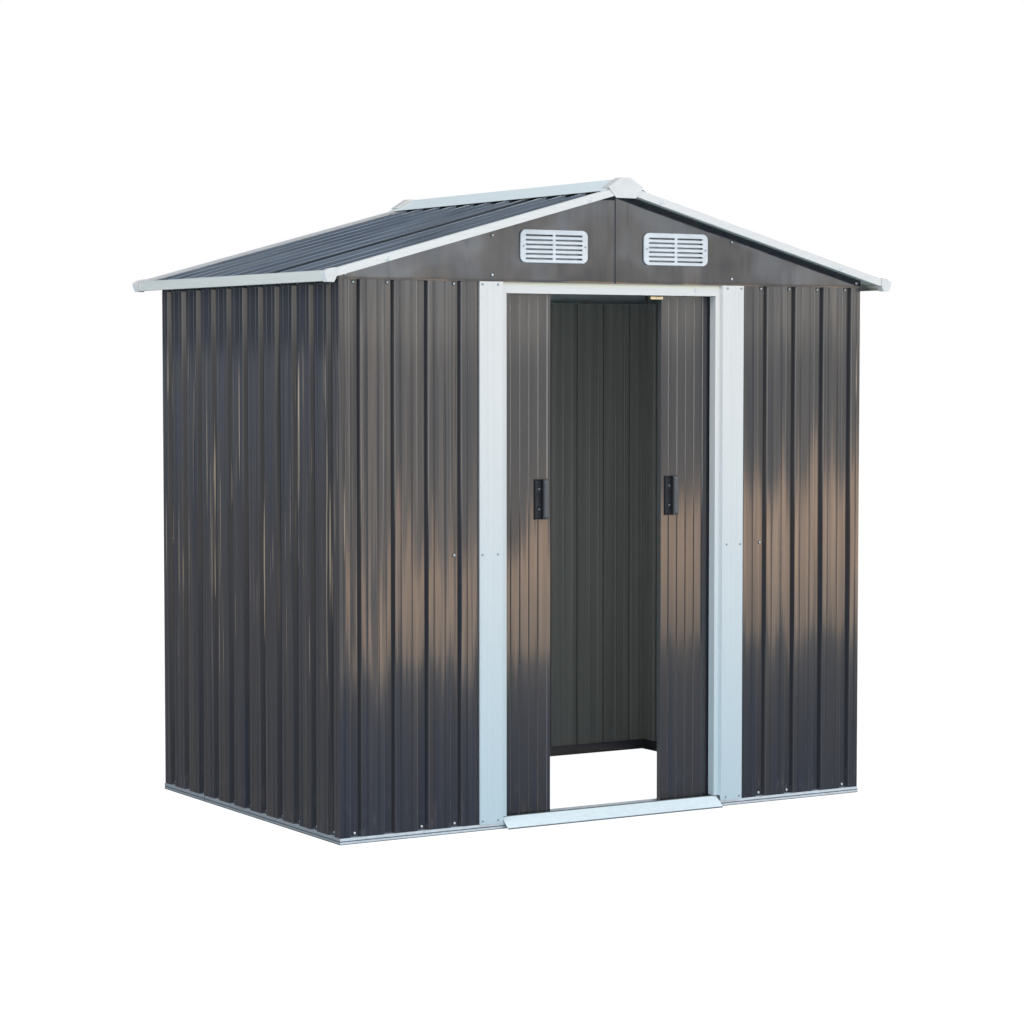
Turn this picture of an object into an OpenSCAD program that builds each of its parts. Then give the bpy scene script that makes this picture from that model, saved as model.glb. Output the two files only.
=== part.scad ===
// Metal storage shed with an apex roof, ribbed sheet walls and two sliding doors.
// Millimetres. The front faces -Y, +Z is up and the origin is on the ground in the middle.

/* [Walls] */
// Width across the outside of the wall crowns
wall_w = 1830; // [1500:10:2600]
// Depth across the outside of the wall crowns
wall_d = 1190; // [900:10:2400]
// Height of the top of the wall sheets above the ground
wall_top = 1580; // [1200:10:2100]
// Thickness of every folded sheet
sheet_t = 0.8; // [0.5:0.1:1.2]

/* [Wall ribs] */
// Distance from one valley to the next
rib_pitch = 108; // [90:1:140]
// Depth of a valley behind the crowns
rib_depth = 13; // [8:0.5:18]
// Width of the flat floor of a valley
rib_floor = 24; // [16:1:34]
// Width of one sloping flank, seen square on
rib_flank = 6; // [3:0.5:10]
// Width of a shallow swage on a crown
swage_w = 6; // [4:0.5:9]
// Depth of a shallow swage on a crown
swage_depth = 1.4; // [0.8:0.1:2.5]

/* [Base rails] */
// Height of the ledge that the wall sheets stand on
ledge_z = 18; // [12:1:30]
// How far the outer lip stands proud of the wall crowns
lip_proud = 2; // [1:0.5:6]
// Height of the upstand behind the wall sheets
upstand_h = 31; // [26:1:45]
// Width of the foot flange on the ground
foot_w = 16; // [10:1:18]

/* [Doorway] */
// Clear width between the jamb returns
doorway_w = 736; // [600:2:760]
// Width of the flat face of a jamb
jamb_face_w = 77; // [60:1:100]
// Width of the bevel and flange beside the opening
jamb_flange_w = 19; // [12:1:24]
// How far the jamb face stands proud of the wall crowns
jamb_proud = 6; // [4:0.5:12]
// How far the jamb flange lies behind the wall crowns
jamb_set_back = 6; // [5:0.5:12]
// Height of the header face
header_h = 32; // [26:1:45]
// Distance from the back of the ramp's slope to its front
ramp_run = 36; // [30:1:60]
// Extra half width of the ramp beside the jamb returns
ramp_side = 13; // [4:0.5:14]

/* [Doors] */
// Width of one door
door_w = 395; // [385:5:420]
// Thickness of a door
door_t = 18; // [14:1:22]
// Gap between the ground and the underside of a door
door_bottom_z = 26; // [22:1:40]
// Distance from the middle to a door's leading edge as stored
door_open_at_rest = 196; // [20:1:280]
// Distance between the fine beads of a door
bead_pitch = 31; // [24:1:40]
// Depth of a bead
bead_depth = 2; // [1:0.25:3]
// Distance from the wall crowns back to the door's front face
door_set_back = 43; // [42:1:50]
// Radius of a door roller
roller_r = 8; // [6:0.5:9]

/* [Handles] */
// Width of a handle
handle_w = 43; // [38:1:54]
// Height of a handle
handle_h = 118; // [90:2:150]
// How far the grip stands out from the door
handle_depth = 21; // [16:1:26]
// Height of the middle of the handles
handle_z = 950; // [700:10:1200]

/* [Roof] */
// Slope of the roof in degrees
roof_angle = 15.2; // [10:0.2:22]
// Height of the gable at the outside of the side walls
gable_end_h = 22; // [20:1:40]
// How far the eave trim stands out from the side walls
eave_overhang = 63; // [50:1:90]
// How far the verge trim stands out from the gable walls
verge_overhang = 57; // [50:1:90]
// Height of the verge and eave trims
trim_h = 22; // [20:1:35]
// Half width of the ridge cap along the slope
ridge_cap_w = 76; // [60:2:110]
// How far the fold of the ridge cap rises above the roof's own peak
ridge_cap_rise = 18; // [6:1:18]

/* [Gable vents] */
// Width of a vent plate
vent_w = 230; // [160:5:240]
// Height of a vent plate
vent_h = 95; // [80:1:100]
// Distance from the middle to the centre of a vent
vent_x = 214; // [160:2:260]
// Height of the centre of a vent above the wall top
vent_rise = 104; // [80:1:110]

/* [Hidden] */
$fn = 48;

dark_paint = "#3b3d40";
white_paint = "#e9edee";
galvanised = "#bfc6ca";
black_plastic = "#1d1e21";
brass = "#b99a55";

half_w = wall_w / 2;
half_d = wall_d / 2;
rib_half = rib_floor / 2 + rib_flank;
rib_third = rib_pitch / 3;
seat_gap = 0.3;
lap_inset = 1;
// How far a cutting body passes the face that it cuts
over = 1;
corner_land = 15;
// Plane behind the wall valleys, where the frame rails bear
inner_set = rib_depth + sheet_t;

function unit(v) = v / norm(v);
function left_of(d) = [-d[1], d[0]];
function reversed(list) = [for (i = [len(list) - 1 : -1 : 0]) list[i]];

// Point i of a path moved sideways by t, with mitred bends
function side_point(path, i, t) =
    let (
        last = len(path) - 1,
        a = max(i, 1),
        b = min(i, last - 1),
        m = left_of(unit(path[a] - path[a - 1])) + left_of(unit(path[b + 1] - path[b]))
    )
    path[i] + 2 * t * m / (m * m);

// Closed outline of a sheet that follows a path and is t thick on its left
function sheet_outline(path, t) =
    concat(path, reversed([for (i = [0 : len(path) - 1]) side_point(path, i, t)]));

module folded(path, t) polygon(sheet_outline(path, t));

module along_x(length) rotate([90, 0, 90]) linear_extrude(length, center = true) children();
module along_y(length) rotate([90, 0, 0]) linear_extrude(length, center = true) children();
module both_sides() {
    children();
    mirror([1, 0, 0]) children();
}
module left_side() mirror([1, 0, 0]) children();

// Ribbed sheet
function valley(c) = [
    [c - rib_half, 0], [c - rib_floor / 2, -rib_depth],
    [c + rib_floor / 2, -rib_depth], [c + rib_half, 0]
];
function swage(c) = [
    [c - swage_w / 2, 0], [c - swage_w / 6, -swage_depth],
    [c + swage_w / 6, -swage_depth], [c + swage_w / 2, 0]
];
// Every valley and swage that lies wholly between u0 and u1
function ribs(u0, u1) = [
    for (j = [ceil(u0 / rib_third) : floor(u1 / rib_third)])
    let (c = j * rib_third, is_valley = j % 3 == 0, half = is_valley ? rib_half : swage_w / 2)
    if (c - half > u0 + lap_inset && c + half < u1 - lap_inset)
    each is_valley ? valley(c) : swage(c)
];
// A sheet that starts in valley c lies over its neighbour there
function lap_over(c) = [
    [c - rib_floor / 2 + lap_inset, sheet_t - rib_depth],
    [c + rib_floor / 2, sheet_t - rib_depth],
    [c + rib_half, 0]
];
// A sheet that ends in valley c lies under its neighbour there
function lap_under(c) = [
    [c - rib_half, 0], [c - rib_floor / 2, -rib_depth], [c + rib_floor / 2 - lap_inset, -rib_depth]
];
// Valley nearest to the end of a wall that still leaves a land at the corner
function last_valley(half) = rib_pitch * floor((half - rib_half - corner_land) / rib_pitch);

// Each wall as origin, direction and outward normal, walked with the outside on the right
front_wall = [[0, -half_d], [1, 0], [0, -1]];
right_wall = [[half_w, 0], [0, 1], [1, 0]];
back_wall = [[0, half_d], [-1, 0], [0, 1]];
left_wall = [[-half_w, 0], [0, -1], [-1, 0]];
function on_wall(wall, points) = [for (p = points) wall[0] + p[0] * wall[1] + p[1] * wall[2]];

jamb_in = doorway_w / 2;
jamb_step = jamb_in + jamb_flange_w;
jamb_out = jamb_step + jamb_face_w;
side_lap = last_valley(half_d);
front_lap = rib_pitch * ceil((jamb_out + rib_half) / rib_pitch);
back_lap = rib_pitch * round(half_w / 3 / rib_pitch);
infill_end = jamb_step + corner_land;

module wall_sheet(path)
    color(dark_paint)
    translate([0, 0, ledge_z]) linear_extrude(wall_top - ledge_z) folded(path, sheet_t);

module corner_sheet(wall_a, start, half_a, wall_b, half_b, end)
    wall_sheet(concat(
        on_wall(wall_a, concat(lap_over(start), ribs(start + rib_half, half_a), [[half_a, 0]])),
        on_wall(wall_b, concat(ribs(-half_b, end - rib_half), lap_under(end)))
    ));
module flat_sheet(wall, start, end)
    wall_sheet(on_wall(wall, concat(
        lap_over(start), ribs(start + rib_half - lap_inset, end - rib_half + lap_inset), lap_under(end)
    )));

module front_corner_sheet_left()
    corner_sheet(left_wall, side_lap, half_d, front_wall, half_w, -front_lap);
module front_corner_sheet_right()
    corner_sheet(front_wall, front_lap, half_w, right_wall, half_d, -side_lap);
module back_corner_sheet_right()
    corner_sheet(right_wall, side_lap, half_d, back_wall, half_w, -back_lap);
module back_corner_sheet_left()
    corner_sheet(back_wall, back_lap, half_w, left_wall, half_d, -side_lap);
module back_middle_sheet() flat_sheet(back_wall, -back_lap, back_lap);
module right_wall() flat_sheet(right_wall, -side_lap, side_lap);
module left_wall() flat_sheet(left_wall, -side_lap, side_lap);
module front_infill_sheet_left()
    wall_sheet(on_wall(front_wall, concat(
        lap_over(-front_lap), ribs(rib_half - front_lap - lap_inset, -infill_end), [[-infill_end, 0]]
    )));
module front_infill_sheet_right()
    wall_sheet(on_wall(front_wall, concat(
        [[infill_end, 0]], ribs(infill_end, front_lap - rib_half + lap_inset), lap_under(front_lap)
    )));

// Base rails: profile with x outwards from the wall crowns and y up
lip_groove = 1.2;
function lip_side(x) = [
    [x, 0], [x, ledge_z / 2 - lip_groove], [x - lip_groove, ledge_z / 2], [x, ledge_z / 2 + lip_groove]
];
module base_rail_profile() {
    web = -inner_set - sheet_t;
    lip_back = lip_proud - sheet_t;
    polygon(concat(
        lip_side(lip_proud),
        [
            [lip_proud, ledge_z], [-inner_set, ledge_z], [-inner_set, upstand_h],
            [web, upstand_h], [web, sheet_t], [web - foot_w, sheet_t], [web - foot_w, 0],
            [-inner_set, 0], [-inner_set, ledge_z - sheet_t], [lip_back, ledge_z - sheet_t]
        ],
        reversed(lip_side(lip_back))
    ));
}
// Trapezium that mitres a rail whose outer face is at half_b and whose ends are at half_a
module mitre(half_a, half_b, depth, gap) {
    a = half_a - gap;
    linear_extrude(upstand_h)
    polygon([[-a, -half_b], [a, -half_b], [a - depth, depth - half_b], [depth - a, depth - half_b]]);
}
module base_rail(half_a, half_b, gap) {
    outer_a = half_a + lip_proud;
    outer_b = half_b + lip_proud;
    color(galvanised)
    intersection() {
        translate([0, -half_b, 0]) along_x(2 * outer_a) mirror([1, 0]) base_rail_profile();
        mitre(outer_a, outer_b, inner_set + sheet_t + foot_w + 2 * lip_proud, gap);
    }
}
module base_rail_front() base_rail(half_w, half_d, 0);
module base_rail_back() mirror([0, 1, 0]) base_rail_front();
module base_rail_left() rotate([0, 0, -90]) base_rail(half_d, half_w, seat_gap);
module base_rail_right() rotate([0, 0, 90]) base_rail(half_d, half_w, seat_gap);

// Roof geometry: crowns of both slopes meet on the ridge line
roof_slope = tan(roof_angle);
ridge_z = wall_top + gable_end_h + half_w * roof_slope + (inner_set + seat_gap) / cos(roof_angle);
eave_x = half_w + eave_overhang;
verge_y = half_d + verge_overhang;
trim_top_n = seat_gap + sheet_t;
function crown_z(x) = ridge_z - roof_slope * abs(x);
// Height on a plane that lies n above the crowns, measured square to the roof
function roof_plane_z(x, n) = crown_z(x) + n / cos(roof_angle);
// Underside of the valleys less the seat gap, where gables and rails bear
function bearing_z(x) = roof_plane_z(x, -inner_set - seat_gap);

// Right-hand slope: x runs down the slope and z is square to the roof
module on_slope() translate([0, 0, ridge_z]) rotate([0, roof_angle, 0]) children();

// Top rails
rail_w = 22;
rail_bottom = wall_top - header_h + sheet_t;
front_rail_inner = half_d - inner_set - sheet_t - rail_w;
module top_rail_front() {
    web = half_d - inner_set;
    color(galvanised)
    along_x(2 * (half_w - inner_set))
    folded([
        [-front_rail_inner, wall_top], [-web, wall_top], [-web, rail_bottom], [-front_rail_inner, rail_bottom]
    ], sheet_t);
}
module top_rail_back() mirror([0, 1, 0]) top_rail_front();
module top_rail_right() {
    web = half_w - inner_set;
    inner = web - sheet_t - rail_w;
    color(galvanised)
    along_y(2 * front_rail_inner)
    folded([
        [inner, rail_bottom], [web, rail_bottom], [web, bearing_z(web)], [inner, bearing_z(inner)]
    ], sheet_t);
}
module top_rail_left() left_side() top_rail_right();

// Door jambs: a hat section with a bevel and a return into the doorway
jamb_return = 29;
jamb_bevel_w = 4;
jamb_foot_gap = 3;
jamb_notch_z = upstand_h + jamb_foot_gap;
jamb_flange_y = jamb_set_back - half_d;
module door_jamb_right() {
    face_y = -half_d - jamb_proud;
    return_y = jamb_flange_y + jamb_return;
    color(white_paint)
    difference() {
        translate([0, 0, ledge_z]) linear_extrude(wall_top - ledge_z)
        folded([
            [jamb_in, return_y], [jamb_in, jamb_flange_y],
            [jamb_step - jamb_bevel_w, jamb_flange_y], [jamb_step, face_y],
            [jamb_out, face_y], [jamb_out, -half_d]
        ], sheet_t);
        // Clearance for the ramp at the foot and for the front rail at the head
        translate([0, face_y - over, 0])
        cube([jamb_step - sheet_t, return_y - face_y + 2 * over, jamb_notch_z]);
        translate([0, jamb_flange_y + 2 * sheet_t, rail_bottom - 3 * sheet_t])
        cube([jamb_step, jamb_return, header_h + 3 * sheet_t + over]);
    }
}
module door_jamb_left() left_side() door_jamb_right();

// Header: face over the doorway with a return under the front rail
header_end_gap = 2;
module door_header() {
    face_y = jamb_flange_y - sheet_t;
    face_half = jamb_step - jamb_bevel_w - sheet_t;
    return_half = jamb_in - header_end_gap;
    translate([0, face_y, wall_top - header_h])
    color(white_paint)
    union() {
        translate([-face_half, 0, 0]) cube([2 * face_half, sheet_t, header_h]);
        translate([-return_half, 0, 0]) cube([2 * return_half, -front_rail_inner - face_y, sheet_t]);
    }
}

// Ramp plate: flange on the base rail, slope and lip on the ground
ramp_set_back = 6;
ramp_back_y = jamb_flange_y + ramp_set_back;
ramp_lip_h = 4;
ramp_flange = 12;
module door_ramp() {
    front_y = ramp_back_y - ramp_run;
    top_z = upstand_h + sheet_t;
    color(galvanised)
    along_x(2 * (jamb_in + ramp_side))
    folded([
        [front_y, 0], [front_y, ramp_lip_h], [ramp_back_y, top_z], [ramp_back_y + ramp_flange, top_z]
    ], -sheet_t);
}

// Door track hung from the front rail, and the guide on the ground
door_front_y = door_set_back - half_d;
door_back_y = door_front_y + door_t;
track_back_gap = 12;
track_back_y = door_back_y + track_back_gap;
track_lip = 21;
roller_w = 12;
roller_set_back = 7;
roller_front_y = door_front_y + roller_set_back;
roller_head_gap = 6;
roller_z = wall_top - 2 * sheet_t - roller_r - roller_head_gap;
track_lip_z = roller_z - roller_r - seat_gap;
guide_h = 16;
guide_back_h = 30;
guide_back_gap = 8;
guide_back_y = door_back_y + guide_back_gap;
guide_front_y = inner_set + sheet_t + foot_w - half_d;
running_half = half_w - inner_set - 2 * rail_w;
module door_track()
    color(galvanised)
    along_x(2 * running_half)
    folded([
        [-front_rail_inner - rail_w / 2, wall_top - sheet_t], [track_back_y, wall_top - sheet_t],
        [track_back_y, track_lip_z - sheet_t], [track_back_y - track_lip, track_lip_z - sheet_t]
    ], -sheet_t);
module door_floor_guide()
    color(galvanised)
    along_x(2 * running_half)
    folded([
        [guide_front_y, guide_h], [guide_front_y, 0], [guide_back_y, 0], [guide_back_y, guide_back_h]
    ], sheet_t);

// Doors: a beaded sheet folded round its edges, with a channel at the head and foot
door_head_gap = 8.5;
door_top_z = track_lip_z - door_head_gap;
door_lip = 12;
channel_h = 28;
door_lead_x = door_open_at_rest;
door_trail_x = door_lead_x + door_w;
bead_count = floor((door_w - bead_pitch) / bead_pitch);
function door_bead(c) = [
    [c - bead_depth, 0], [c, bead_depth], [c + bead_depth, 0]
];
module door_panel(bead_shift) {
    bead_start = door_lead_x + (door_w - (bead_count - 1) * bead_pitch) / 2 + bead_shift;
    path = concat(
        [[door_lead_x + door_lip, door_back_y], [door_lead_x, door_back_y], [door_lead_x, door_front_y]],
        [
            for (i = [0 : bead_count - 1])
            for (p = door_bead(bead_start + i * bead_pitch))
            [p[0], door_front_y + p[1]]
        ],
        [[door_trail_x, door_front_y], [door_trail_x, door_back_y], [door_trail_x - door_lip, door_back_y]]
    );
    color(dark_paint)
    union() {
        translate([0, 0, door_bottom_z]) linear_extrude(door_top_z - door_bottom_z) folded(path, sheet_t);
        for (z = [door_bottom_z, door_top_z - channel_h])
        translate([door_lead_x + door_w / 2, 0, 0])
        along_x(door_w - sheet_t)
        door_channel(z);
    }
}
module door_channel(z) {
    near = door_front_y + bead_depth + sheet_t;
    far = door_back_y - 2 * sheet_t;
    folded([[far, z], [near, z], [near, z + channel_h], [far, z + channel_h]], -sheet_t);
}
module right_door() door_panel(-bead_pitch / 2);
module left_door() left_side() door_panel(0);

// Rollers: bracket with a foot on the door's head, an axle and a wheel
bracket_w = 30;
bracket_t = 2;
bracket_margin = 3;
axle_r = 2.5;
hardware_inset = 45;
hardware_x = [door_lead_x + hardware_inset, door_trail_x - hardware_inset];
module roller(x) {
    plate_y = door_front_y + bead_depth;
    translate([x, 0, 0]) union() {
        translate([-bracket_w / 2, plate_y, door_top_z])
        cube([bracket_w, door_t - 2 * bead_depth, bracket_t]);
        translate([-bracket_w / 2, plate_y, door_top_z])
        cube([bracket_w, bracket_t, roller_z + axle_r + bracket_margin - door_top_z]);
        translate([0, plate_y, roller_z]) rotate([-90, 0, 0])
        cylinder(r = axle_r, h = roller_front_y + roller_w - plate_y);
        translate([0, roller_front_y, roller_z]) rotate([-90, 0, 0]) cylinder(r = roller_r, h = roller_w);
    }
}
module roller_pair() for (x = hardware_x) roller(x);
// Catch at the head of the right door, which passes in front of the left door
catch_reach = 44;
catch_gap = 5.2;
catch_t = 3;
catch_h = 8;
catch_drop = 2.5;
catch_grip = 10;
module right_door_rollers()
    color(brass) {
        roller_pair();
        translate([door_lead_x, door_front_y, door_top_z - catch_drop - catch_h])
        translate([-catch_reach - seat_gap, -catch_gap - catch_t, 0])
        union() {
            cube([catch_reach, catch_t, catch_h]);
            translate([catch_reach - catch_t, 0, 0]) cube([catch_t, catch_t + catch_gap + catch_grip, catch_h]);
        }
    }
module left_door_rollers() color(brass) left_side() roller_pair();

// Shoes that keep a door's foot in the floor guide
shoe_w = 30;
shoe_t = 12;
shoe_bottom = 6;
module right_door_shoes()
    color(black_plastic)
    for (x = hardware_x)
    translate([x - shoe_w / 2, door_front_y + (door_t - shoe_t) / 2, shoe_bottom])
    cube([shoe_w, shoe_t, door_bottom_z - shoe_bottom]);
module left_door_shoes() left_side() right_door_shoes();

// Handles: plate with a raised hooked grip along one side
handle_edge = 12.5;
handle_plate_t = 5;
grip_w = 20;
grip_wall = 4;
module handle(x) {
    corner = handle_plate_t;
    translate([x, door_front_y, handle_z])
    color(black_plastic)
    difference() {
        union() {
            translate([0, -handle_plate_t, -handle_h / 2]) cube([handle_w, handle_plate_t, handle_h]);
            translate([handle_w - grip_w, -handle_depth, corner - handle_h / 2])
            cube([grip_w, handle_depth, handle_h - 2 * corner]);
            for (z = [corner - handle_h / 2, handle_h / 2 - corner])
            translate([handle_w - grip_w, -handle_depth + corner, z])
            rotate([0, 90, 0]) cylinder(r = corner, h = grip_w);
        }
        // Finger space behind the grip
        translate([handle_w - grip_w - over, grip_wall - handle_depth, 2 * grip_wall - handle_h / 2])
        cube([grip_w - grip_wall + over, handle_depth - handle_plate_t - grip_wall, handle_h - 4 * grip_wall]);
    }
}
module right_handle() handle(door_lead_x + handle_edge);
module left_handle() handle(-door_lead_x - handle_edge - handle_w);

// Gables: half sheets with a flange on the wall top and one under the roof
gable_proud = 2;
gable_flange = 25;
gable_hem_h = 7;
gable_hem_proud = 1.5;
module gable_right() {
    out_y = -half_d - gable_proud;
    color(dark_paint)
    difference() {
        union() {
            gable_slice(out_y, sheet_t, [
                [0, wall_top], [half_w, wall_top], [half_w, bearing_z(half_w)], [0, bearing_z(0)]
            ]);
            gable_slice(out_y - gable_hem_proud, gable_hem_proud + sheet_t, [
                [0, wall_top], [half_w, wall_top],
                [half_w, wall_top + gable_hem_h], [0, wall_top + gable_hem_h]
            ]);
            gable_slice(out_y, gable_proud + inner_set + sheet_t + gable_flange / 2, [
                [0, wall_top], [half_w - inner_set, wall_top],
                [half_w - inner_set, wall_top + sheet_t], [0, wall_top + sheet_t]
            ]);
            gable_slice(out_y, gable_flange, [
                [0, bearing_z(0) - sheet_t], [half_w, bearing_z(half_w) - sheet_t],
                [half_w, bearing_z(half_w)], [0, bearing_z(0)]
            ]);
        }
        translate([vent_x - vent_hole_w / 2, out_y - over, vent_z - vent_hole_h / 2])
        cube([vent_hole_w, sheet_t + 2 * over, vent_hole_h]);
    }
}
// A slice of the gable cut from an outline seen from the front, reaching inwards from y
module gable_slice(y, depth, outline)
    translate([0, y + depth, 0]) rotate([90, 0, 0]) linear_extrude(depth) polygon(outline);
module front_gable_right() translate([seat_gap / 2, 0, 0]) gable_right();
module front_gable_left() left_side() front_gable_right();
module back_gable_right() mirror([0, 1, 0]) front_gable_right();
module back_gable_left() left_side() back_gable_right();

// Gable vents: rounded plates with two columns of slots
vent_z = wall_top + vent_rise;
vent_t = 6;
vent_corner = 18;
vent_border_x = 18;
vent_border_z = 7.3;
vent_bar = 9;
vent_rows = 6;
vent_slot_h = 5;
// How far the slots lie below the middle of the plate
vent_slot_drop = 2.5;
vent_hole_w = vent_w - 2 * vent_border_x;
vent_hole_h = vent_h - 2 * vent_border_z;
module rounded_plate(w, h, t, r) {
    translate([-w / 2 + r, 0, -h / 2]) cube([w - 2 * r, t, h]);
    translate([-w / 2, 0, -h / 2 + r]) cube([w, t, h - 2 * r]);
    for (x = [r - w / 2, w / 2 - r])
    for (z = [r - h / 2, h / 2 - r])
    translate([x, t, z]) rotate([90, 0, 0]) cylinder(r = r, h = t);
}
module vent() {
    slot_w = (vent_hole_w - vent_bar) / 2;
    row = vent_hole_h / vent_rows;
    difference() {
        rounded_plate(vent_w, vent_h, vent_t, vent_corner);
        for (side = [-1, 1])
        for (i = [0 : vent_rows - 1])
        translate([
            side * (slot_w + vent_bar) / 2 - slot_w / 2, -over,
            (i + 1 / 2) * row - vent_hole_h / 2 - vent_slot_h / 2 - vent_slot_drop
        ])
        cube([slot_w, vent_t + 2 * over, vent_slot_h]);
    }
}
module front_vents()
    color(white_paint)
    both_sides() translate([vent_x, -half_d - gable_proud - vent_t, vent_z]) vent();
module back_vents() mirror([0, 1, 0]) front_vents();

// Ridge beam between the gables
beam_w = 40;
beam_h = 40;
module ridge_beam() {
    top = bearing_z(beam_w / 2) - 3 * sheet_t;
    color(galvanised)
    along_y(2 * (half_d + gable_proud - sheet_t))
    folded([
        [-beam_w / 2, top - beam_h], [-beam_w / 2, top], [beam_w / 2, top], [beam_w / 2, top - beam_h]
    ], -sheet_t);
}

// Roof sheets: the same sheet laid the other way up, with narrow crowns down the slope
function raised(points) = [for (p = points) [p[0], -rib_depth - p[1]]];
// Half a crown along a verge, where the verge trim bears
function verge_crown(u, side) = [
    [u, 0], [u - side * verge_top_w, 0], [u - side * (verge_top_w + rib_flank), -rib_depth]
];
function roof_lap_under(c) = [
    [c - rib_half, -rib_depth], [c - rib_floor / 2, -sheet_t], [c + rib_floor / 2 - lap_inset, -sheet_t]
];
function roof_lap_over(c) = [
    [c - rib_floor / 2 + lap_inset, 0], [c + rib_floor / 2, 0], [c + rib_half, -rib_depth]
];
verge_top_w = 20;
roof_lap = -2 * rib_pitch;
ridge_gap = 6;
roof_start = ridge_gap / cos(roof_angle);
roof_eave_gap = 4;
roof_verge_gap = 2;
roof_end = (eave_x - roof_eave_gap) / cos(roof_angle);
roof_half_y = verge_y - sheet_t - roof_verge_gap;
module roof_sheet(path)
    color(dark_paint)
    on_slope()
    translate([(roof_start + roof_end) / 2, 0, 0])
    along_x(roof_end - roof_start) folded(path, -sheet_t);
roof_pan_y = roof_half_y - verge_top_w - rib_flank;
module roof_right_front()
    roof_sheet(concat(
        verge_crown(-roof_half_y, -1), raised(ribs(-roof_pan_y, roof_lap - rib_half + lap_inset)),
        roof_lap_under(roof_lap)
    ));
module roof_right_back()
    roof_sheet(concat(
        roof_lap_over(roof_lap), raised(ribs(roof_lap + rib_half - lap_inset, roof_pan_y)),
        reversed(verge_crown(roof_half_y, 1))
    ));
module roof_left_front() left_side() roof_right_front();
module roof_left_back() left_side() roof_right_back();

// Verge trims: channels over the ends of the roof sheets
verge_hem_w = 12;
back_verge_top_w = 46;
// Depth of the lip that the back trims turn down to the pan
back_verge_lip = 12;
eave_top_w = 9;
verge_start = ridge_gap + trim_h * tan(roof_angle);
trim_joint = 1;
verge_end = (eave_x - eave_top_w - trim_joint) / cos(roof_angle);
module verge_trim_right(top_w, lip)
    on_slope()
    translate([(verge_start + verge_end) / 2, 0, 0])
    along_x(verge_end - verge_start)
    folded(concat(lip > 0 ? [[top_w - verge_y, trim_top_n - lip]] : [], [
        [top_w - verge_y, trim_top_n], [-verge_y, trim_top_n],
        [-verge_y, trim_top_n - trim_h], [verge_hem_w - verge_y, trim_top_n - trim_h]
    ]), sheet_t);
module verge_trims_front() color(white_paint) both_sides() verge_trim_right(verge_top_w, 0);
module verge_trims_back()
    color(white_paint)
    mirror([0, 1, 0]) both_sides() verge_trim_right(back_verge_top_w, back_verge_lip);

// Eave trims: channels over the lower ends of the roof sheets
eave_hem_w = 16;
eave_drop = 6;
eave_side_gap = 4;
eave_bottom = roof_plane_z(eave_x, trim_top_n) - trim_h - eave_drop;
eave_half_y = verge_y - eave_side_gap;
module eave_trim_right()
    color(white_paint)
    along_y(2 * eave_half_y)
    folded([
        [eave_x - eave_top_w, roof_plane_z(eave_x - eave_top_w, trim_top_n)],
        [eave_x, roof_plane_z(eave_x, trim_top_n)],
        [eave_x, eave_bottom], [eave_x - eave_hem_w, eave_bottom]
    ], -sheet_t);
module eave_trim_left() left_side() eave_trim_right();

// Ridge cap: folded over both slopes and lying on the verge trims
cap_n = trim_top_n + seat_gap + sheet_t;
module ridge_cap() {
    reach = ridge_cap_w * cos(roof_angle);
    color(white_paint)
    along_y(2 * verge_y)
    folded([
        [-reach, roof_plane_z(reach, cap_n)], [0, roof_plane_z(0, cap_n) + ridge_cap_rise],
        [reach, roof_plane_z(reach, cap_n)]
    ], -sheet_t);
}

// Moulded caps: a face over the trims' ends and a rim behind it
cap_wall = 3;
cap_clear = 0.4;
ridge_cap_depth = 34;
shoulder_half = 62;
shoulder_rise = 8;
crest_half = 15;
crest_rise = 20;
chin_half = 34;
chin_margin = 8;
module ridge_end_cap() {
    top = roof_plane_z(0, cap_n);
    side = roof_plane_z(ridge_cap_w, cap_n) + cap_clear;
    shoulder = roof_plane_z(shoulder_half, cap_n) + shoulder_rise;
    chin = roof_plane_z(chin_half, cap_n - trim_h) - chin_margin;
    face = [
        [-shoulder_half, shoulder], [-crest_half, top + crest_rise], [crest_half, top + crest_rise],
        [shoulder_half, shoulder], [chin_half, chin], [-chin_half, chin]
    ];
    pocket = [
        [-ridge_cap_w, side], [0, top + ridge_cap_rise + cap_clear], [ridge_cap_w, side],
        [ridge_cap_w, wall_top], [-ridge_cap_w, wall_top]
    ];
    moulded_cap(face, pocket, ridge_cap_depth);
}
module moulded_cap(face, pocket, depth) {
    inner_y = depth - verge_y - cap_clear;
    difference() {
        translate([0, inner_y, 0]) rotate([90, 0, 0]) linear_extrude(depth + cap_wall) polygon(face);
        translate([0, inner_y + over, 0]) rotate([90, 0, 0]) linear_extrude(depth + over) polygon(pocket);
    }
}
module front_and_back() {
    children();
    mirror([0, 1, 0]) children();
}
module ridge_end_caps() color(white_paint) front_and_back() ridge_end_cap();

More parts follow.
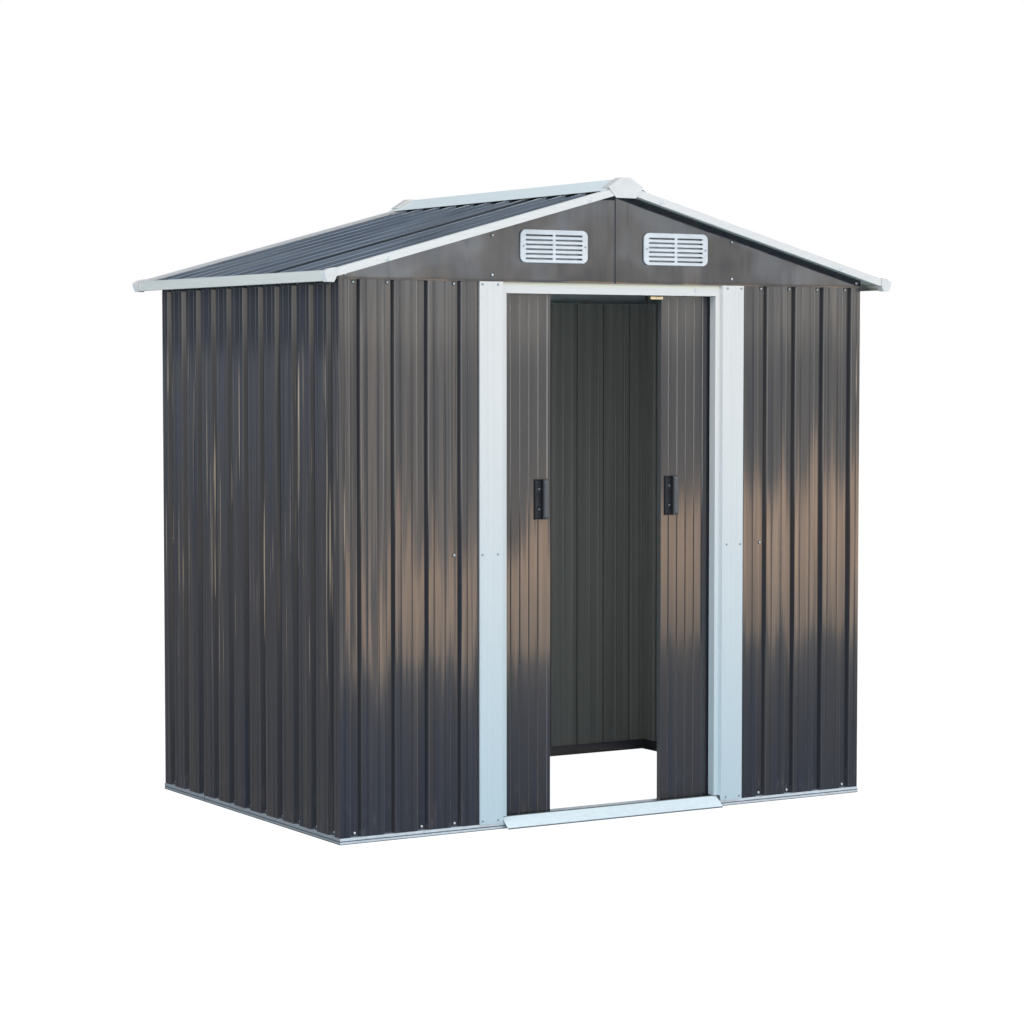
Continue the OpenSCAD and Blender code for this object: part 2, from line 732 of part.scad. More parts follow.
// Corner caps where the verge and eave trims meet
corner_cap_depth = 20;
cap_reach = 25;
cap_nose = 11;
cap_nose_h = 8;
cap_lip = 2.5;
cap_peak = 4;
module roof_corner_cap() {
    inner = eave_x - cap_reach;
    cut = inner - over;
    peak = eave_x - cap_wall;
    nose = eave_x + cap_nose;
    nose_top = roof_plane_z(nose, trim_top_n);
    side = eave_x + cap_clear;
    foot = eave_x - eave_hem_w;
    trim_bottom_n = trim_top_n - trim_h;
    face = [
        [inner, roof_plane_z(inner, trim_top_n) + cap_lip], [peak, roof_plane_z(peak, trim_top_n) + cap_peak],
        [nose, nose_top], [nose, nose_top - cap_nose_h],
        [eave_x + cap_wall, eave_bottom - cap_wall], [foot - cap_lip, eave_bottom - cap_wall],
        [inner, roof_plane_z(inner, trim_bottom_n) - cap_lip]
    ];
    pocket = [
        [cut, roof_plane_z(cut, trim_top_n) + cap_clear], [side, roof_plane_z(side, trim_top_n) + cap_clear],
        [side, eave_bottom - cap_clear], [foot - cap_lip / 2, eave_bottom - cap_clear],
        [cut, roof_plane_z(cut, trim_bottom_n) - over]
    ];
    moulded_cap(face, pocket, corner_cap_depth);
}
module roof_corner_caps() color(white_paint) front_and_back() both_sides() roof_corner_cap();

base_rail_front();
base_rail_back();
base_rail_left();
base_rail_right();
front_corner_sheet_left();
front_corner_sheet_right();
front_infill_sheet_left();
front_infill_sheet_right();
left_wall();
right_wall();
back_corner_sheet_left();
back_corner_sheet_right();
back_middle_sheet();
door_jamb_left();
door_jamb_right();
door_header();
door_ramp();
top_rail_front();
top_rail_back();
top_rail_left();
top_rail_right();
door_track();
door_floor_guide();
front_gable_left();
front_gable_right();
back_gable_left();
back_gable_right();
front_vents();
back_vents();
ridge_beam();
roof_left_front();
roof_left_back();
roof_right_front();
roof_right_back();
ridge_cap();
ridge_end_caps();
roof_corner_caps();
eave_trim_left();
eave_trim_right();
verge_trims_front();
verge_trims_back();
left_door();
left_door_rollers();
left_door_shoes();
left_handle();
right_door();
right_door_rollers();
right_door_shoes();
right_handle();
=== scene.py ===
"""Metal storage shed: finishes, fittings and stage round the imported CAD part."""

import math

import bpy
import numpy as np
from mathutils import Matrix, Vector


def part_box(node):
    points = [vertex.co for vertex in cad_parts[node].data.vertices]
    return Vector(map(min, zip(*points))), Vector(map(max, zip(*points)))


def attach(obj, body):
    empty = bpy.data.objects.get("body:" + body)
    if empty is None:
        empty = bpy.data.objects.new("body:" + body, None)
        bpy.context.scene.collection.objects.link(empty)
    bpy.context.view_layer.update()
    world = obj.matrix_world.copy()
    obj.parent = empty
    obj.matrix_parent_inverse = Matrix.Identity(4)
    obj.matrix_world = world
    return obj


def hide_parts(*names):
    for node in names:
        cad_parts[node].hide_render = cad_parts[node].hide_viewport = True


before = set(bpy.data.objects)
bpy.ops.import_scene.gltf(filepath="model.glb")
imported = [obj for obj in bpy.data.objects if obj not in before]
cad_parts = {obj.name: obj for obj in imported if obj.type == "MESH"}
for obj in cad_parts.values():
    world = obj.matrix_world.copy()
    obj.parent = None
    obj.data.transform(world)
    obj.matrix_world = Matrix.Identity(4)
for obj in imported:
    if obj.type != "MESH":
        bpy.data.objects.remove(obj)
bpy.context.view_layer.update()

bl_info = {
    "name": "Metal storage shed",
    "version": (1, 0, 0),
    "blender": (4, 5, 0),
    "location": "View3D > Sidebar > Shed",
    "description": "Finishes and fittings of a ribbed steel shed with sliding doors",
    "category": "Object",
}

# Sizes of the sheet metal, in metres
WALL_HALF_W = 0.915
WALL_HALF_D = 0.595
RIB_PITCH = 0.108
RIB_DEPTH = 0.013
SHEET = 0.0008
SIDE_TEST = 0.895
END_TEST = 0.575
CROWN_EDGE = 0.018
BEAD_PITCH = 0.031
BEAD_INSET = 0.0425
GABLE_HEM = 1.586
ROOF_LAP = -0.2315
RAIL_JOINT = 0.299

# Painted glints up a side wall, sun glints painted into the base colour: place along it, foot, head and
# amount
GLINT_LINES = [(-0.345, 0.75, 1.38, 0.17), (0.235, 0.62, 1.06, 0.08), (-0.525, 0.45, 1.25, 0.08)]

WALL_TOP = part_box("left_wall")[1].z
GABLE_PROUD = 0.002
GABLE_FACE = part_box("front_infill_sheet_left")[0].y - GABLE_PROUD
JAMB_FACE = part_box("door_jamb_left")[0].y
HEADER_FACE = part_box("door_header")[0].y
VENT_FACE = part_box("front_vents")[0].y
VERGE_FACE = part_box("verge_trims_front")[0].y

# Places of the screws and plugs: across the front and height, or across alone
GABLE_SCREWS = [
    (-0.421, 1.712), (-0.421, 1.599), (0.421, 1.711), (0.421, 1.600), (-0.897, 1.594), (0.897, 1.594),
]
VERGE_PLUGS = [(-0.793, 1.637), (0.793, 1.637), (-0.125, 1.8195), (0.125, 1.8195)]
HEADER_PLUG = (0.294, 1.565)
JAMB_SCREW_X = (-0.4555, -0.404, 0.404, 0.4545)
JAMB_MIDDLE_SCREW = 0.798
JAMB_SCREW_DROP = 0.008
VENT_SCREW_X = (-0.3195, -0.1085, 0.1085, 0.3195)
HEAD_CLEAR = 0.02

# Sizes of the louvres, handles and floor
VENT_X = 0.214
LOUVRE_W = 0.19
LOUVRE_HALF_H = 0.0402
LOUVRE_ROWS = 6
LOUVRE_DROP = 0.0025
LOUVRE_BEHIND = 0.004
HANDLE_RINGS = 41
FLOOR_HALF = 40.0

# Colours of the painted fold highlights and painted glints, of dust and zinc bloom, and the cream edge
# above the header
FOLD_HIGHLIGHT_COLOUR = (0.40, 0.36, 0.32)
GLINT_COLOUR = (0.60, 0.44, 0.30)
DUST = (0.36, 0.36, 0.37)
BLOOM = (0.86, 0.9, 0.92)
CREAM = (0.80, 0.73, 0.56)
CREAM_DROP = 0.0105
SWAGE_PITCH = 0.021

DARK_SHEETS = [
    "front_corner_sheet_left", "front_corner_sheet_right", "front_infill_sheet_left",
    "front_infill_sheet_right", "left_wall", "right_wall", "back_corner_sheet_left",
    "back_corner_sheet_right", "back_middle_sheet",
]
GABLES = ["front_gable_left", "front_gable_right", "back_gable_left", "back_gable_right"]
ROOF_SHEETS = ["roof_left_front", "roof_left_back", "roof_right_front", "roof_right_back"]
JAMBS = ["door_jamb_left", "door_jamb_right"]
VERGE_TRIMS = ["verge_trims_front", "verge_trims_back"]
EAVE_TRIMS = ["eave_trim_left", "eave_trim_right"]
MOULDED_CAPS = ["ridge_end_caps", "roof_corner_caps"]
VENTS = ["front_vents", "back_vents"]
FRAME_RAILS = [
    "top_rail_front", "top_rail_back", "top_rail_left", "top_rail_right", "door_track",
    "door_floor_guide", "ridge_beam",
]
BASE_RAILS = ["base_rail_front", "base_rail_back", "base_rail_left", "base_rail_right"]
ROLLERS = ["left_door_rollers", "right_door_rollers"]
SHOES = ["left_door_shoes", "right_door_shoes"]


class Shade:
    """A socket of a shader tree. Arithmetic on it adds Math nodes to the tree."""

    def __init__(self, tree, socket=None):
        self.tree = tree
        self.socket = socket

    def node(self, kind, sockets=None, output=0, stops=None, **settings):
        """Adds a node: its settings and ramp stops first, then the values or links of its sockets."""
        made = self.tree.nodes.new("ShaderNode" + kind)
        for name, value in settings.items():
            setattr(made, name, value)
        for place, (position, colour) in enumerate(stops or ()):
            elements = made.color_ramp.elements
            element = elements[place] if place < len(elements) else elements.new(position)
            element.position = position
            element.color = (*colour, 1.0)
        for key, value in (sockets or {}).items():
            if isinstance(value, Shade):
                self.tree.links.new(value.socket, made.inputs[key])
            else:
                made.inputs[key].default_value = value
        return Shade(self.tree, made.outputs[output] if made.outputs else None)

    def math(self, operation, other=0.0):
        return self.node("Math", {0: self, 1: other}, operation=operation)

    def __add__(self, other):
        return self.math("ADD", other)

    __radd__ = __add__

    def __mul__(self, other):
        return self.math("MULTIPLY", other)

    __rmul__ = __mul__

    def __sub__(self, other):
        return self.math("SUBTRACT", other)

    def __rsub__(self, other):
        return self.node("Math", {0: other, 1: self}, operation="SUBTRACT")

    def __truediv__(self, other):
        return self.math("DIVIDE", other)

    def __gt__(self, other):
        return self.math("GREATER_THAN", other)

    def size(self):
        return self.math("ABSOLUTE")

    def sign(self):
        return self.math("SIGN")

    def step(self, low, high):
        """Smooth step from 0 at low to 1 at high."""
        return self.node(
            "MapRange", {"Value": self, "From Min": low, "From Max": high}, interpolation_type="SMOOTHSTEP"
        )

    def between(self, low, high, soft):
        """1 between low and high and 0 outside, with soft edges."""
        return self.step(low - soft, low + soft) * (1 - self.step(high - soft, high + soft))

    def blend(self, first, second):
        """Colour that goes from first to second as this value goes from 0 to 1."""
        return self.node(
            "Mix", {"Factor": self, 6: coloured(first), 7: coloured(second)}, 2, data_type="RGBA"
        )

    def split(self):
        """The three numbers of a vector or colour."""
        made = self.node("SeparateXYZ", {0: self})
        return [Shade(self.tree, socket) for socket in made.socket.node.outputs]

    def scaled(self, *amounts):
        """The vector multiplied by three amounts."""
        return self.node("VectorMath", {0: self, 1: amounts}, operation="MULTIPLY")

    def noise(self, detail=3.0, roughness=0.55, output="Fac", **sockets):
        """Noise at this place, whose unit is one cell."""
        values = {"Vector": self, "Scale": 1.0, "Detail": detail, "Roughness": roughness, **sockets}
        return self.node("TexNoise", values, output)


def coloured(value):
    """A colour with its alpha, or a socket as it is."""
    return value if isinstance(value, Shade) else (*value, 1.0)


def tinted(colour, amount):
    """A colour made lighter or darker by a factor."""
    return tuple(min(1.0, channel * amount) for channel in colour)


def new_material(name):
    """An empty node material with its output node, as a material and a shade to start from."""
    material = bpy.data.materials.new(name)
    material.use_nodes = True
    material.node_tree.nodes.clear()
    return material, Shade(material.node_tree)


def surface(start, sockets):
    """Ends a material in a Principled BSDF with these sockets."""
    shader = start.node("BsdfPrincipled", sockets)
    start.node("OutputMaterial", {"Surface": shader})


def place_and_normal(start):
    """Object coordinates and the surface normal of a piece that sits unturned at the origin."""
    return start.node("TexCoord", output="Object"), start.node("NewGeometry", output="Normal")


def outer_side(place, normal):
    """1 on the outside of a wall, door or gable sheet and 0 on its inside.

    The outward direction is X on the side walls, Y on the ends and both at the corners, with the
    sign of the place."""
    x, y, _ = place.split()
    nx, ny, _ = normal.split()
    on_side = x.size() > SIDE_TEST
    on_end = (1 - on_side).math("MAXIMUM", y.size() > END_TEST)
    outward = on_side * nx * x.sign() + on_end * ny * y.sign()
    return outward.step(-0.05, 0.02)


def leaning_normal(normal, lean, across, upward):
    """The normal tipped by a noise colour: across in X and Y, upward in Z."""
    shift = lean.node("VectorMath", {0: lean, 1: (0.5, 0.5, 0.5)}, operation="SUBTRACT")
    return tipped_normal(normal, shift.scaled(across, across, upward))


def tipped_normal(normal, tip):
    """The normal with a small vector added."""
    tipped = tip.node("VectorMath", {0: normal, 1: tip}, operation="ADD")
    return tipped.node("VectorMath", {0: tipped}, operation="NORMALIZE")


def fold_lines(place, folds, pitch, first):
    """1 on thin upright lines at these distances from each pitch along a sheet, and 0 elsewhere."""
    x, y, _ = place.split()
    on_side = x.size() > SIDE_TEST
    along = on_side * y + (1 - on_side) * x - first
    off = (along - (along / pitch).math("ROUND") * pitch).size()
    lines = off * 0.0
    for fold in folds:
        lines = lines.math("MAXIMUM", 1 - (off - fold).size().step(0.0006, 0.0022))
    return lines


def enamel_material(name, outside, inside, folds=(), pitch=RIB_PITCH, first=0.0, fold_highlight=0.4, streaked=1.0,
                    is_roof=False, is_gable=False):
    """Glossy baked enamel: long rolled streaks tip the normal a little, the back has a duller primer.

    The folds of a wall or door get painted highlights outside and painted shade inside, and the side
    walls have painted glints. A gable is buckled, with a joint in its middle and a hem at its foot that
    leans down. A roof is open along its lap."""
    material, start = new_material(name)
    place, normal = place_and_normal(start)
    x, y, z = place.split()
    outer = normal.split()[2].step(-0.05, 0.02) if is_roof else outer_side(place, normal)
    fine_scale = (1.5, 150.0, 1.5) if is_roof else (90.0, 90.0, 0.8)
    wide_scale = (0.8, 36.0, 0.8) if is_roof else (36.0, 36.0, 0.45)
    fine_streak = place.scaled(*fine_scale).noise(3.0, 0.6, "Color")
    wide_streak = place.scaled(*wide_scale).noise(2.0, 0.55, "Color")
    fine = fine_streak.split()[0]
    broad = wide_streak.split()[1]
    speckle = place.scaled(900.0, 900.0, 900.0).noise(1.0)
    dust = (1 - z.step(0.02, 0.16)) * place.scaled(60.0, 60.0, 14.0).noise(3.0).step(0.5, 0.8)
    cool, warm = tinted(outside, 0.9), tuple(a * b for a, b in zip(outside, (1.3, 1.1, 0.92)))
    painted = (fine * 0.4 + broad * 0.6).step(0.36, 0.64).blend(cool, warm)
    if folds:
        on_side = x.size() > SIDE_TEST
        # Painted highlights: the fold lines are painted pale where the bends would mirror bright
        # surroundings, more high up, less in a band at mid height and on the side walls
        high_up = (0.3 + z.step(0.8, 1.1) * 0.7) * (1 - z.between(0.5, 0.9, 0.07))
        lightened = high_up * (0.4 + broad) * (1 - on_side * 0.7)
        folded = fold_lines(place, folds, pitch, first)
        painted = (folded * lightened * fold_highlight).blend(painted, FOLD_HIGHLIGHT_COLOUR)
        # Painted glints: thin pale tan streaks on the side walls stand in for sun glints mirrored in the
        # bends
        glint_noise = place.scaled(150.0, 150.0, 1.7).noise(1.0)
        for along, foot, head, amount in GLINT_LINES:
            on_line = 1 - (y - along).size().step(0.003, 0.012)
            glint_noise = glint_noise + on_line * z.between(foot, head, 0.06) * amount
        glint_mask = glint_noise.step(0.67, 0.74) * on_side * z.between(0.45, 1.35, 0.12)
        painted = (glint_mask * 0.75).blend(painted, GLINT_COLOUR)
    dusty = (dust * 0.1).blend(painted, DUST)
    primer = (fine * 0.5 + broad * 0.5).step(0.3, 0.72).blend(tinted(inside, 0.8), tinted(inside, 1.2))
    # Painted shade: the folds are darkened on the inside, where the rib flanks fall in shade
    if folds:
        primer = (folded * 0.8).blend(primer, tinted(inside, 0.25))
    colour = outer.blend(primer, dusty)
    roughness = outer * (0.03 + fine * 0.04 + dust * 0.2 + speckle * 0.02) + (1 - outer) * 0.42
    leaning = leaning_normal(normal, fine_streak, 0.10 * streaked, 0.014 * streaked)
    leaning = leaning_normal(leaning, wide_streak, 0.16 * streaked, 0.022 * streaked)
    if is_gable:
        buckle = place.scaled(5.0, 5.0, 7.0).noise(1.5, 0.4, "Color")
        leaning = leaning_normal(leaning, buckle, 0.09, 0.09)
        hem = 1 - z.step(GABLE_HEM - 0.003, GABLE_HEM + 0.003)
        joint = 1 - x.size().step(0.001, 0.0025)
        fall = hem * -0.045 + joint * -0.5
        leaning = tipped_normal(leaning, start.node("CombineXYZ", {2: fall}))
    if is_roof:
        gap = y.between(ROOF_LAP - 0.003, ROOF_LAP + 0.003, 0.001)
        leaning = tipped_normal(leaning, start.node("CombineXYZ", {1: gap * -1.2, 2: gap * -0.5}))
    surface(start, {
        "Base Color": colour, "Roughness": roughness, "Normal": leaning, "IOR": 1.62,
        "Coat Weight": outer * 0.25, "Coat Roughness": 0.03,
    })
    return material


def white_paint_material(name, white, cream=0.0, lines=False):
    """Semi-gloss white paint with faint rolled lines and a little grime in patches.

    With lines it has swages up its length and goes bluer towards the foot, and above the height
    given by cream it is cream."""
    material, start = new_material(name)
    place, normal = place_and_normal(start)
    x, _, z = place.split()
    streak_scale = (140.0, 140.0, 1.2) if lines else (3.0, 3.0, 160.0)
    streak = place.scaled(*streak_scale).noise(3.0, 0.6, "Color")
    patch = place.scaled(5.0, 5.0, 3.0).noise(3.0)
    grime = patch.step(0.5, 0.8) * streak.split()[1].step(0.4, 0.7)
    clean = streak.split()[0].step(0.3, 0.7).blend(tinted(white, 0.97), tinted(white, 1.02))
    colour = (grime * 0.18).blend(clean, tinted(white, 0.72))
    if lines:
        # Painted shade: the jamb goes darker and bluer towards its foot, where less warm light and more sky
        # light falls
        foot_shade_tint = tuple(a * b for a, b in zip(white, (0.76, 0.95, 1.06)))
        colour = (1 - z.step(-0.2, 1.5)).blend(colour, foot_shade_tint)
    if cream:
        colour = z.step(cream - 0.004, cream + 0.007).blend(colour, CREAM)
    leaning = leaning_normal(normal, streak, 0.03, 0.008)
    peel = start.node("Bump", {
        "Strength": 0.12, "Distance": 0.0006, "Normal": leaning,
        "Height": place.scaled(700.0, 700.0, 700.0).noise(1.0),
    })
    if lines:
        swage = (x.size() * (2 * math.pi / SWAGE_PITCH)).math("COSINE").step(0.55, 1.0)
        peel = start.node("Bump", {"Strength": 0.35, "Distance": 0.0012, "Height": swage, "Normal": peel})
    surface(start, {
        "Base Color": colour, "Roughness": 0.3 + grime * 0.25, "Normal": peel, "IOR": 1.5,
        "Coat Weight": 0.1 + grime * -0.1, "Coat Roughness": 0.15,
    })
    return material


def galvanised_material(name, zinc, metal=0.42, rail=False, ramp=False):
    """Zinc coating: spangle cells of differing brightness, rolled streaks and white bloom.

    A base rail has painted shade in its groove, along its foot, on its inner side and on the faces
    turned to the sides, with a dark butt joint in each side, and a ramp has painted shade along its
    foot and on its flange."""
    material, start = new_material(name)
    place, normal = place_and_normal(start)
    x, y, z = place.split()
    cells = start.node("TexVoronoi", {"Vector": place, "Scale": 85.0, "Randomness": 1.0}, "Color")
    spangle = cells.split()[0]
    rolled = place.scaled(14.0, 14.0, 160.0).noise(3.0)
    bloom = place.scaled(26.0, 26.0, 26.0).noise(4.0, 0.65).step(0.52, 0.78)
    spread, bloomed = (0.04, 0.1) if ramp else (0.09, 0.35)
    plain = (spangle * 0.6 + rolled * 0.4).blend(tinted(zinc, 1 - spread), tinted(zinc, 1 + spread))
    colour = (bloom * bloomed).blend(plain, BLOOM)
    if rail:
        nx, ny, _ = normal.split()
        seam = (x.size() > SIDE_TEST) * y.between(RAIL_JOINT - 0.0015, RAIL_JOINT + 0.0015, 0.0006)
        # Painted shade: the groove, the foot and the inner side are darkened where shade falls; the seam is
        # a real dark joint
        groove = z.between(0.0075, 0.0105, 0.0008)
        foot = 1 - z.step(0.0015, 0.0035)
        inner = (nx * x + ny * y).math("MULTIPLY", -1.0).step(0.05, 0.3)
        joint_and_shade = seam.math("MAXIMUM", groove * 0.85).math("MAXIMUM", foot * 0.8).math("MAXIMUM", inner * 0.9)
        # Painted shade: faces turned to the sides are darker, as they face away from the key light
        colour = (nx.size().step(0.4, 0.8) * 0.55).blend(colour, (0.2, 0.21, 0.22))
        colour = joint_and_shade.blend(colour, (0.045, 0.05, 0.055))
    if ramp:
        # Painted shade: a dark line along the ramp's foot, where its curled lip lies in shade, and on its
        # flange, for the shaded gap before the floor guide
        foot = 1 - z.step(0.0025, 0.0050)
        flange = y.step(-0.584, -0.5825) * z.step(0.0305, 0.0312)
        colour = foot.math("MAXIMUM", flange).blend(colour, (0.10, 0.12, 0.135))
    surface(start, {
        "Base Color": colour, "Metallic": metal - bloom * 0.5 * metal,
        "Roughness": 0.34 + spangle * 0.14 + bloom * 0.15,
        "Normal": start.node("Bump", {
            "Strength": 0.25, "Distance": 0.0008, "Height": rolled + spangle * 0.3, "Normal": normal,
        }),
    })
    return material


def moulded_material(name, colour, roughness, grain, sheen_face=None, sheen_colour=(0.12, 0.122, 0.127)):
    """Moulded plastic: a fine pebble grain, slight flow marks and paler rubbed patches.

    Where sheen_face is given, what stands out in front of that Y is lightened to the sheen colour: a
    painted sheen where the grip faces the light."""
    material, start = new_material(name)
    place, normal = place_and_normal(start)
    pebble = place.scaled(1100.0, 1100.0, 1100.0).noise(2.0)
    flow = place.scaled(18.0, 18.0, 30.0).noise(3.0, 0.6)
    rubbed = place.scaled(90.0, 90.0, 60.0).noise(4.0, 0.7).step(0.55, 0.8)
    base = flow.step(0.3, 0.7).blend(tinted(colour, 0.94), tinted(colour, 1.04))
    lightened = (rubbed * 0.25).blend(base, tuple(0.8 * c + 0.1 for c in colour))
    if sheen_face is not None:
        # Painted sheen: the front of the grip is painted lighter because it faces the light
        painted_sheen = (sheen_face - place.split()[1]).step(-0.002, 0.002)
        lightened = (painted_sheen * (0.75 + rubbed * 0.25)).blend(lightened, sheen_colour)
    surface(start, {
        "Base Color": lightened, "Roughness": roughness + rubbed * 0.12,
        "Normal": start.node("Bump", {
            "Strength": grain, "Distance": 0.0005, "Height": pebble, "Normal": normal,
        }),
    })
    return material


def metal_material(name, colour, roughness, metal=0.85):
    """Plated metal: turned lines, tarnish in patches and small pits."""
    material, start = new_material(name)
    place, normal = place_and_normal(start)
    turned = place.scaled(300.0, 60.0, 900.0).noise(2.0)
    tarnish = place.scaled(70.0, 70.0, 70.0).noise(4.0, 0.65).step(0.45, 0.75)
    bright = turned.blend(tinted(colour, 0.88), tinted(colour, 1.1))
    surface(start, {
        "Base Color": (tarnish * 0.4).blend(bright, tinted(colour, 0.55)),
        "Metallic": metal - tarnish * 0.25,
        "Roughness": roughness + tarnish * 0.25,
        "Normal": start.node("Bump", {
            "Strength": 0.15, "Distance": 0.0004, "Height": turned, "Normal": normal,
        }),
    })
    return material


def dress(nodes, material):
    """Gives every named CAD node this one material."""
    for name in nodes:
        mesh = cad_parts[name].data
        mesh.materials.clear()
        mesh.materials.append(material)


def add_piece(name, points, faces, material, body):
    """Makes a mesh from arrays of points and faces, at the origin, riding on a body."""
    mesh = bpy.data.meshes.new(name)
    mesh.from_pydata(points.reshape(-1, 3).tolist(), [], faces)
    mesh.validate()
    mesh.polygons.foreach_set("use_smooth", np.ones(len(mesh.polygons), bool))
    mesh.set_sharp_from_angle(angle=math.radians(35))
    mesh.materials.append(material)
    piece = bpy.data.objects.new(name, mesh)
    bpy.context.scene.collection.objects.link(piece)
    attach(piece, body)
    return piece


def ring_faces(rings, columns):
    """Quads of a tube of rings with this many columns, and a cap on its first and last ring."""
    ring = np.arange(rings - 1)[:, None] * columns
    near = np.arange(columns)[None, :]
    far = (near + 1) % columns
    quads = np.stack([ring + near, ring + far, ring + columns + far, ring + columns + near], -1)
    caps = [np.arange(columns)[::-1].tolist(), (np.arange(columns) + (rings - 1) * columns).tolist()]
    return quads.reshape(-1, 4).tolist() + caps


def repeated_faces(faces, copies, points_each):
    """The same faces for each of several copies of a shape."""
    return [[index + copy * points_each for index in face] for copy in range(copies) for face in faces]


def turned_heads(centres, outward, profile, columns=16, recess=0.0):
    """Round heads: each profile point (radius, height) turned round an axis that stands on a centre.

    Point = centre + radius cos(a) across + radius sin(a) up + height outward, and a cross recess
    sinks every fourth column of the two innermost rings."""
    angle = np.linspace(0, 2 * np.pi, columns, endpoint=False)
    across = np.stack([-outward[:, 1], outward[:, 0], np.zeros(len(outward))], 1)
    up = np.array([0.0, 0.0, 1.0])
    radius, height = profile[:, 0], profile[:, 1]
    sink = np.zeros((len(profile), columns))
    sink[-2:, ::4] = recess
    turn = radius[:, None, None] * np.cos(angle)[None, :, None] * across[:, None, None, :]
    rise = radius[:, None, None] * np.sin(angle)[None, :, None] * up
    stand = (height[:, None] - sink)[:, :, None] * outward[:, None, None, :]
    points = centres[:, None, None, :] + turn + rise + stand
    faces = ring_faces(len(profile), columns)
    return points, repeated_faces(faces, len(centres), len(profile) * columns)


def facing(count, x, y):
    """The same outward direction for a number of heads."""
    return np.tile([x, y, 0.0], (count, 1))


def rows_of(across, heights):
    """Every pair of a place along a wall and a height."""
    return np.stack(np.meshgrid(across, heights, indexing="ij"), -1).reshape(-1, 2)


def wall_heads(across, heights, laps):
    """Places along a wall and heights of its screws, with a lap's extra sheet under some of them."""
    pairs = rows_of(across, heights)
    lapped = np.isclose(np.abs(pairs[:, :1]), laps).any(1)
    return pairs, RIB_DEPTH - SHEET * lapped


def wall_screw_places(settings):
    """Centres and outward directions of the screws in the valleys of all four walls."""
    edges = (settings.foot_screw_height, WALL_TOP - settings.head_screw_drop)
    middle = (settings.middle_screw_height,)
    front = RIB_PITCH * np.array([-8, -7, -6, -5, 5, 6, 7, 8])
    back = RIB_PITCH * np.arange(-8, 9)
    side = RIB_PITCH * np.arange(-5, 6)
    front_lap, side_lap, back_lap = RIB_PITCH * 5, RIB_PITCH * 5, RIB_PITCH * 3
    centres, outward = [], []
    for valleys, lap, sign in ((front, front_lap, -1.0), (back, back_lap, 1.0)):
        for across, heights in ((valleys, edges), (np.array([-lap, lap]), middle)):
            pairs, depth = wall_heads(across, heights, lap)
            centres.append(np.stack([pairs[:, 0], sign * (WALL_HALF_D - depth), pairs[:, 1]], 1))
            outward.append(facing(len(pairs), 0.0, sign))
    for sign in (-1.0, 1.0):
        for across, heights in ((side, edges), (np.array([side_lap]), middle)):
            pairs, depth = wall_heads(across, heights, side_lap)
            centres.append(np.stack([sign * (WALL_HALF_W - depth), pairs[:, 0], pairs[:, 1]], 1))
            outward.append(facing(len(pairs), sign, 0.0))
    return np.concatenate(centres), np.concatenate(outward)


def without(centres, outward, gone):
    """The heads that are left when those near the gone places are taken out."""
    distance = np.linalg.norm(centres[:, None, :] - np.array(gone)[None, :, :], axis=2)
    kept = distance.min(1) > HEAD_CLEAR
    return centres[kept], outward[kept]


def both_ends(pairs, front_y):
    """Heads on the front face at these X and Z, and the same on the back."""
    pairs = np.array(pairs)
    front = np.stack([pairs[:, 0], np.full(len(pairs), front_y), pairs[:, 1]], 1)
    centres = np.concatenate([front, front * [1.0, -1.0, 1.0]])
    return centres, np.concatenate([facing(len(pairs), 0.0, -1.0), facing(len(pairs), 0.0, 1.0)])


PAN_HEAD = np.array([
    (1.0, 0.0), (1.0, 0.18), (0.92, 0.42), (0.74, 0.62), (0.5, 0.72), (0.36, 0.75), (0.12, 0.76),
])
WASHER = np.array([(1.0, 0.0), (1.0, 0.55), (0.9, 0.8), (0.3, 1.0)])
PLUG = np.array([(1.0, 0.0), (1.0, 0.12), (0.93, 0.26), (0.75, 0.38), (0.45, 0.46), (0.1, 0.48)])

# Control points of a handle's section as parts of its width and of its depth
GRIP_SECTION = np.array([
    (0.0, 0.0), (0.0, 0.2), (0.015, 0.26), (0.05, 0.285), (0.085, 0.26), (0.1, 0.18), (0.115, 0.12),
    (0.24, 0.1), (0.38, 0.1), (0.5, 0.1), (0.545, 0.12), (0.56, 0.2), (0.555, 0.42), (0.54, 0.62),
    (0.535, 0.8), (0.55, 0.91), (0.6, 0.98), (0.68, 1.0), (0.8, 0.985), (0.9, 0.91), (0.96, 0.78),
    (0.99, 0.58), (1.0, 0.34), (1.0, 0.0),
])
RIM_SHARE = 0.285
FLOOR_SHARE = 0.1


def handle_points(width, height, depth, rings):
    """A handle: the grip section carried up the door, its depth falling in a round at both ends.

    Depth above the rim = section depth times sqrt(1 - t^2), where t grows from 0 to 1 over an end.
    The floor rises to the rim at both ends and in two low ridges, at a third of the height."""
    along = np.concatenate([[-1.0], -np.cos(np.linspace(0, np.pi, rings)), [1.0]])
    end_share = 0.13
    t = np.clip((np.abs(along) - (1 - end_share)) / end_share, 0, 1)
    round_off = np.sqrt(1 - t**2)
    corner = 1 - 0.06 * (np.clip((np.abs(along) - 0.96) / 0.04, 0, 1)) ** 2
    section_x, section_d = GRIP_SECTION[:, 0], GRIP_SECTION[:, 1]
    on_floor = (section_x > 0.1) & (section_x < 0.55) & (section_d < RIM_SHARE)
    ends = np.clip((np.abs(along) - 0.93) / 0.03, 0, 1)
    ridges = 0.35 * np.exp(-(((np.abs(along) - 0.33) / 0.07) ** 2))
    lift = np.maximum(ends, ridges)[:, None] * on_floor[None, :]
    base = np.minimum(section_d, RIM_SHARE)[None, :]
    base = base + (0.9 * RIM_SHARE - base).clip(0) * lift
    rise = (section_d - np.minimum(section_d, RIM_SHARE))[None, :] * round_off[:, None]
    x = width * (0.5 + (section_x - 0.5)[None, :] * corner[:, None])
    y = -depth * (base + rise)
    z = np.repeat(along[:, None] * height / 2, len(section_x), 1)
    return np.stack([x, y, z], -1)


